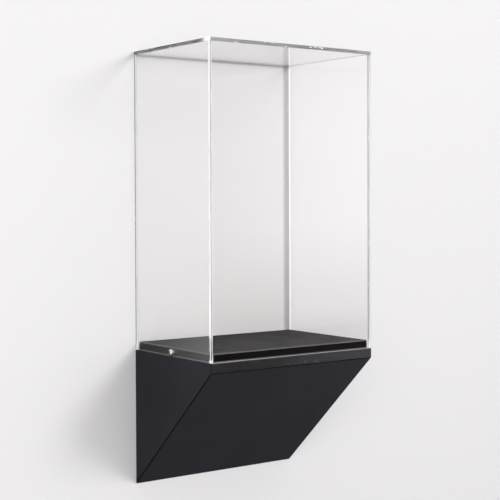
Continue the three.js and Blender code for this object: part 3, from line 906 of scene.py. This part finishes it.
class DISPLAYCOLUMN_OT_lock_washers(ColumnOperator, bpy.types.Operator):
    """Build the washers under the lock screws' heads"""

    bl_idname = "display_column.lock_washers"
    bl_label = "Lock washers"

    EASE = 0.00018

    def execute(self, context):
        for side, sign in SIDES.items():
            node = f"{side}_lock_washer"
            low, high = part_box(node)
            shape = ring(LOCK_CLEARANCE_RADIUS, (high.z - low.z) / 2, self.EASE, (0.0, high.x - low.x),
                         settings().fixing.facets)
            inner = high.x if sign < 0 else low.x
            aimed(shape, (inner, LOCK_DEPTH, LOCK_HEIGHT), (sign, 0, 0))
            finish_piece(shape, f"steel_washer_{side}", node, polished_steel(), rounded=True)
        return {"FINISHED"}


class DISPLAYCOLUMN_OT_threaded_inserts(ColumnOperator, bpy.types.Operator):
    """Build the knurled brass inserts in the plinth's ends"""

    bl_idname = "display_column.threaded_inserts"
    bl_label = "Threaded inserts"

    EASE = 0.0004
    GROOVES = (0.0035, 0.0045, 0.008, 0.009)
    FACETS = 36

    def execute(self, context):
        brass = finish("insert_turned_brass", metal, settings().fixing.brass, 0.25, 0.38, 0.0004)
        for side, sign in SIDES.items():
            node = f"{side}_threaded_insert"
            low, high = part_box(node)
            outer = (high.z - low.z) / 2
            heights = (0.0, *self.GROOVES, high.x - low.x)
            shape = ring(LOCK_CLEARANCE_RADIUS, outer, self.EASE, heights, self.FACETS)
            knurl = [face for face in shape.faces
                     if face.calc_center_median().xy.length > outer * 0.97 and face.calc_area() > 1e-6]
            bmesh.ops.inset_individual(shape, faces=knurl, thickness=0.0001, depth=-0.00018,
                                       use_even_offset=True)
            mouth = low.x if sign < 0 else high.x
            aimed(shape, (mouth, LOCK_DEPTH, LOCK_HEIGHT), (-sign, 0, 0))
            finish_piece(shape, f"brass_insert_{side}", node, brass)
        return {"FINISHED"}


def wood_screw_shape(fixing, reach):
    """A countersunk screw with a cross recess, its face at the origin and its shank along +Z."""
    head_radius, rim, head_height = 0.004, 0.0002, 0.0022
    shank, root, tip = 0.002, 0.00138, 0.005
    neck, neck_start, neck_end = shank * 0.86, 0.0026, 0.009
    slit_length, slit_width, slit_depth = 0.0042, 0.0009, 0.0018
    head = turned([(0.0, 0.0), (head_radius - rim / 2, 0.0), (head_radius, rim), (shank, head_height),
                   (neck, neck_start), (neck, neck_end), (0.0, neck_end)], 32)
    recess = bmesh.new()
    for wide, deep in ((slit_length, slit_width), (slit_width, slit_length)):
        for vert in add_block(recess, (-wide / 2, -deep / 2, -0.001), (wide / 2, deep / 2, slit_depth)):
            if vert.co.z > 0:
                vert.co.x *= 0.45 if wide > deep else 0.8
                vert.co.y *= 0.45 if deep > wide else 0.8
    turns = int((reach - 0.0085) / fixing.wood_pitch)
    start = reach - (turns + 1) * fixing.wood_pitch
    thread = threaded(shank, root, fixing.wood_pitch, start, turns, 16, flat=0.08)
    top = max(vert.co.z for vert in thread.verts)
    stretch = (reach - 0.00002 - start) / (top - start)
    for vert in thread.verts:
        vert.co.z = start + (vert.co.z - start) * stretch
        narrowed(vert, min(1.0, max((reach - vert.co.z) / tip, 0.03)))
    return joined(carved(head, recess), thread)


class DISPLAYCOLUMN_OT_wood_screws(ColumnOperator, bpy.types.Operator):
    """Build the wood screws of the cleat, the plinth and the back board"""

    bl_idname = "display_column.wood_screws"
    bl_label = "Wood screws"

    RUNS = {"cleat_screw": (0, -1, 0), "plinth_screw": (0, 0, 1), "back_screw": (0, -1, 0)}
    EACH = 4

    def execute(self, context):
        fixing = settings().fixing
        zinc = finish("wood_screw_zinc", metal, fixing.zinc, 0.28, 0.42, 0.0005)
        for kind, direction in self.RUNS.items():
            direction = Vector(direction)
            for number in range(1, self.EACH + 1):
                node = f"{kind}_{number}"
                low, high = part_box(node)
                reach = abs((high - low).dot(direction))
                shape = wood_screw_shape(fixing, reach)
                aimed(shape, (low + high) / 2 - direction * reach / 2, direction)
                finish_piece(shape, f"countersunk_{node}", node, zinc, rounded=True)
        return {"FINISHED"}


class DISPLAYCOLUMN_OT_dowels(ColumnOperator, bpy.types.Operator):
    """Build the fluted dowels between the deck and the side boards"""

    bl_idname = "display_column.dowels"
    bl_label = "Dowels"

    COUNT = 6
    FLUTES = 20

    def execute(self, context):
        for number in range(1, self.COUNT + 1):
            node = f"deck_dowel_{number}"
            low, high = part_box(node)
            reach, radius, ease = high.x - low.x, (high.z - low.z) / 2, 0.001
            shape = turned([(0.0, 0.0), (radius - ease, 0.0), (radius, ease), (radius, reach - ease),
                            (radius - ease, reach), (0.0, reach)], self.FLUTES)
            flutes = [face for face in shape.faces if face.calc_area() > reach * radius * 0.2]
            bmesh.ops.inset_individual(shape, faces=flutes, thickness=0.00028, depth=-0.0003,
                                       use_even_offset=True)
            aimed(shape, (low.x, (low.y + high.y) / 2, (low.z + high.z) / 2), (1, 0, 0))
            finish_piece(shape, f"fluted_dowel_{number}", node, finish("beech_dowel", beech, (0, pi / 2, 0)))
        return {"FINISHED"}


# Stage


def shaded(nodes):
    """How much painted shade darkens the wall beside the console, in what mirrors it."""
    spot = nodes.spot()
    mirrored = nodes.put("LightPath")["Glossy Depth"].mathed("GREATER_THAN", 0.5)
    return mirrored * spot["X"].faded(-0.42, -0.19, 0.05, 0.75) * spot["Z"].faded(LEDGE + 0.05, LEDGE)


def one_sided_paint(nodes, shade, rough, texture, upright=False):
    """A plain painted finish that is only there from its front."""
    place = nodes.place()
    tone = place.noise(1.3, 3.0).mix(toned(shade, 0.985), shade)
    # Painted shade on the wall beside the console, only in what mirrors it.
    if upright:
        tone = shaded(nodes).mix(tone, (0.0, 0.0, 0.0))
    paint = nodes.principled(tone, rough, place.noise(texture, 4.0, 0.6).bump(0.05, 0.0006),
                             {"Specular IOR Level": 0.15})
    return nodes.facing_away().either(paint, nodes.put("BsdfTransparent"))


def stage_sheet(name, low, high, paint, *values):
    """A flat sheet whose lower edge runs along X from low, and whose upper edge ends at high."""
    shape = bmesh.new()
    bmesh.ops.create_grid(shape, x_segments=1, y_segments=1, size=0.5)
    for vert in shape.verts:
        end = high if vert.co.y > 0 else low
        vert.co = ((high if vert.co.x > 0 else low)[0], end[1], end[2])
    sheet = linked(name, meshed(name, shape))
    sheet.data.materials.append(finish(paint, one_sided_paint, *values))
    return sheet


class DISPLAYCOLUMN_OT_studio(ColumnOperator, bpy.types.Operator):
    """Build the plain wall and floor, the soft lamps, the pale surround and the camera"""

    bl_idname = "display_column.studio"
    bl_label = "Studio"

    WALL = ((-3.2, 0.0004, -1.35), (3.2, 0.0004, 2.4))
    FLOOR = ((-3.2, -4.5, -1.35), (3.2, 1.5, -1.35))
    ROOM_DARK, ROOM_BRIGHT = (0.035, 0.035, 0.037), (0.95, 0.945, 0.95)
    LIGHT_BELOW, LIGHT_ABOVE = (0.16, 0.16, 0.18), (1.0, 0.99, 0.985)
    WHITE = (1.0, 1.0, 1.0, 1.0)
    CAMERA_PLACE = (-1.32301, -1.93688, 0.38054)
    CAMERA_YAW, CAMERA_PITCH, CAMERA_ROLL = radians(35.987), radians(1.147), radians(-0.228)
    SENSOR, LENS, SHIFT = 36.0, 87.23, -0.0483

    def execute(self, context):
        studio, scene = settings().studio, context.scene
        wall = stage_sheet("studio_wall", *self.WALL, "wall_paint", studio.wall, 0.7, 900.0, True)
        floor = stage_sheet("studio_floor", *self.FLOOR, "floor_paint", studio.floor, 0.6, 300.0)
        wall.visible_diffuse = floor.visible_diffuse = False
        wall.visible_shadow = False
        floor.visible_glossy = False
        self.lamp("key_lamp", (1.62, -3.12, 1.88), (0.0, 0.0, 0.2), 1.2, studio.key, True)
        self.lamp("fill_lamp", (-1.35, -2.0, 0.45), (-0.2, 0.0, 0.2), 1.6, studio.fill, False)
        self.surround(scene, studio)
        self.camera(scene)
        scene.view_settings.view_transform = "Standard"
        return {"FINISHED"}

    def lamp(self, name, place, target, size, strength, mirrored):
        """A round soft lamp. No glass shows its disc, and metal and lacquer do only if it is mirrored."""
        light = bpy.data.lights.new(name, "AREA")
        light.shape, light.size, light.energy = "DISK", size, strength
        lamp = linked(name, light)
        lamp.location = place
        lamp.visible_transmission = False
        lamp.visible_glossy = mirrored
        lamp.rotation_euler = (Vector(target) - Vector(place)).to_track_quat("-Z", "Y").to_euler()

    def surround(self, scene, studio):
        """White to the camera and through glass, a room to what mirrors it, and an even light to the rest."""
        world = bpy.data.worlds.new("studio_surround")
        nodes = cleared(world)
        toward = nodes.put("SeparateXYZ", {0: nodes.put("TexCoord")["Generated"]})
        path = nodes.put("LightPath")
        right, up = toward["X"], toward["Z"]
        lit = up.faded(-0.7, 0.5).mix(self.LIGHT_BELOW, self.LIGHT_ABOVE)
        even = nodes.put("Background", {"Color": lit, "Strength": studio.ambient})
        plain = nodes.put("Background", {"Color": self.WHITE, "Strength": 1.0})
        shown = path["Glossy Depth"].mathed("GREATER_THAN", 0.5).either(plain, self.room(nodes, right, up))
        seen = largest(path["Is Camera Ray"], path["Is Transmission Ray"], path["Is Glossy Ray"])
        nodes.put("OutputWorld", {"Surface": seen.either(even, shown)})
        world.cycles.sampling_method = "NONE"
        scene.world = world

    def room(self, nodes, right, up):
        """The mirrored room, bright above the horizon and in parts below it, with a window on the right."""
        aside = largest(right.faded(0.4, 0.25), right.faded(0.9, 0.96))
        below = largest(aside * up.faded(-0.75, -0.5), up.faded(-0.45, -0.7, 0.0, 0.4))
        bright = largest(below, up.faded(-0.1, -0.01)) * up.faded(0.04, 0.2, 1.0, 0.5)
        walls = largest(right.faded(0.2, 0.45, 1.25, 0.35), right.faded(0.53, 0.68, 0.35, 1.4))
        window = right.faded(0.66, 0.72, 0.0, 12.0) * right.faded(0.87, 0.8)
        return nodes.put("Background", {"Color": bright.mix(self.ROOM_DARK, self.ROOM_BRIGHT),
                                        "Strength": walls + window})

    def camera(self, scene):
        data = bpy.data.cameras.new("camera")
        data.sensor_width, data.lens, data.shift_y = self.SENSOR, self.LENS, self.SHIFT
        camera = linked("camera", data)
        turns = ((-self.CAMERA_YAW, "Z"), (pi / 2 - self.CAMERA_PITCH, "X"), (self.CAMERA_ROLL, "Z"))
        camera.matrix_world = reduce(lambda place, turn: place @ Matrix.Rotation(turn[0], 4, turn[1]), turns,
                                     Matrix.Translation(self.CAMERA_PLACE))
        scene.camera = camera


class DISPLAYCOLUMN_PT_sidebar(bpy.types.Panel):
    bl_idname = "DISPLAYCOLUMN_PT_sidebar"
    bl_label = "Wall display column"
    bl_space_type = "VIEW_3D"
    bl_region_type = "UI"
    bl_category = "Display column"

    def draw(self, context):
        column = context.scene.display_column
        for group in (column.hood, column.console, column.fixing, column.studio):
            box = self.layout.box()
            for name in group.__annotations__:
                box.prop(group, name)
        for operator in OPERATORS:
            self.layout.operator(operator.bl_idname)


OPERATORS = (
    DISPLAYCOLUMN_OT_acrylic_hood,
    DISPLAYCOLUMN_OT_console_boards,
    DISPLAYCOLUMN_OT_plinth,
    DISPLAYCOLUMN_OT_hidden_boards,
    DISPLAYCOLUMN_OT_lock_screws,
    DISPLAYCOLUMN_OT_lock_washers,
    DISPLAYCOLUMN_OT_threaded_inserts,
    DISPLAYCOLUMN_OT_wood_screws,
    DISPLAYCOLUMN_OT_dowels,
    DISPLAYCOLUMN_OT_studio,
)
CLASSES = (HoodSettings, ConsoleSettings, FixingSettings, StudioSettings, ColumnSettings, *OPERATORS,
           DISPLAYCOLUMN_PT_sidebar)


def register():
    for kind in CLASSES:
        bpy.utils.register_class(kind)
    bpy.types.Scene.display_column = PointerProperty(type=ColumnSettings)


def unregister():
    del bpy.types.Scene.display_column
    for kind in reversed(CLASSES):
        bpy.utils.unregister_class(kind)


def main():
    register()
    column = bpy.ops.display_column
    column.acrylic_hood()
    column.console_boards()
    column.plinth()
    column.hidden_boards()
    column.lock_screws()
    column.lock_washers()
    column.threaded_inserts()
    column.wood_screws()
    column.dowels()
    column.studio()


if __name__ == "__main__":
    main()
